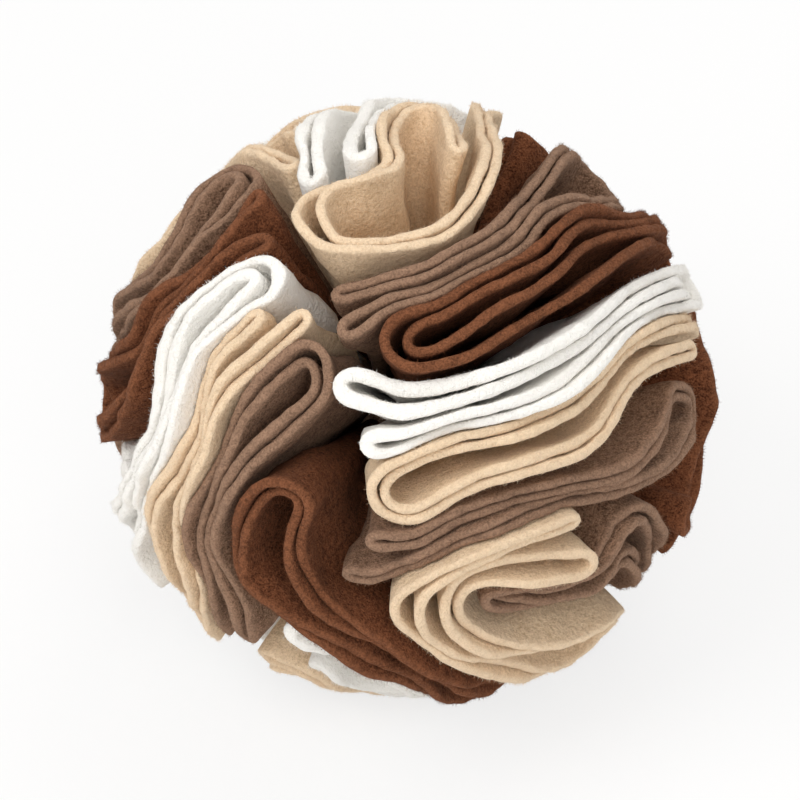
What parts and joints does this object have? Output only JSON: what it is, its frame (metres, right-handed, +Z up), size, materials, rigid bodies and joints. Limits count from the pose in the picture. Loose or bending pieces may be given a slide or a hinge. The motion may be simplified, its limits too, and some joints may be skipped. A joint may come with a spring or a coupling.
{
  "type": "fabric snuffle ball toy",
  "caption": "Soft round snuffle toy made of fleece discs folded in quarters and sewn by their tips round a small stuffed core, with fold pockets for treats.",
  "frame": {"origin": "middle of the ball's footprint on the floor", "axes": "+Z up, +X to the right and -Y towards the viewer of the picture"},
  "size_m": [0.1856, 0.1836, 0.1771],
  "materials": {
    "fleece_white": "matte",
    "fleece_tan": "matte",
    "fleece_taupe": "matte",
    "fleece_chocolate": "matte",
    "core_cloth": "matte",
    "stuffing": "matte"
  },
  "bodies": {
    "root": {"core_stuffing": "stuffing", "core_cover_upper": "core_cloth", "core_cover_lower": "core_cloth", "disc_tan_top": "fleece_tan", "disc_white_top": "fleece_white", "disc_taupe_upper_right": "fleece_taupe", "disc_chocolate_upper_right": "fleece_chocolate", "disc_white_right": "fleece_white", "disc_tan_right": "fleece_tan", "disc_taupe_right": "fleece_taupe", "disc_tan_bottom": "fleece_tan", "disc_taupe_lower_right": "fleece_taupe", "disc_chocolate_right": "fleece_chocolate", "disc_white_left": "fleece_white", "disc_tan_left": "fleece_tan", "disc_taupe_left": "fleece_taupe", "disc_chocolate_left": "fleece_chocolate", "disc_white_bottom": "fleece_white", "disc_tan_bottom_left": "fleece_tan", "disc_chocolate_far_left": "fleece_chocolate", "disc_taupe_far_left": "fleece_taupe", "disc_tan_far_top": "fleece_tan", "disc_white_far_left": "fleece_white", "disc_white_back_upper": "fleece_white", "disc_tan_back_upper": "fleece_tan", "disc_taupe_back_middle": "fleece_taupe", "disc_chocolate_back_lower": "fleece_chocolate", "disc_white_back_lower": "fleece_white", "disc_chocolate_back_edge": "fleece_chocolate", "disc_tan_back_low": "fleece_tan", "disc_taupe_back_low": "fleece_taupe", "disc_chocolate_back_high": "fleece_chocolate", "disc_white_back_high": "fleece_white", "disc_taupe_base": "fleece_taupe", "disc_tan_back_top": "fleece_tan"}
  },
  "joints": []
}
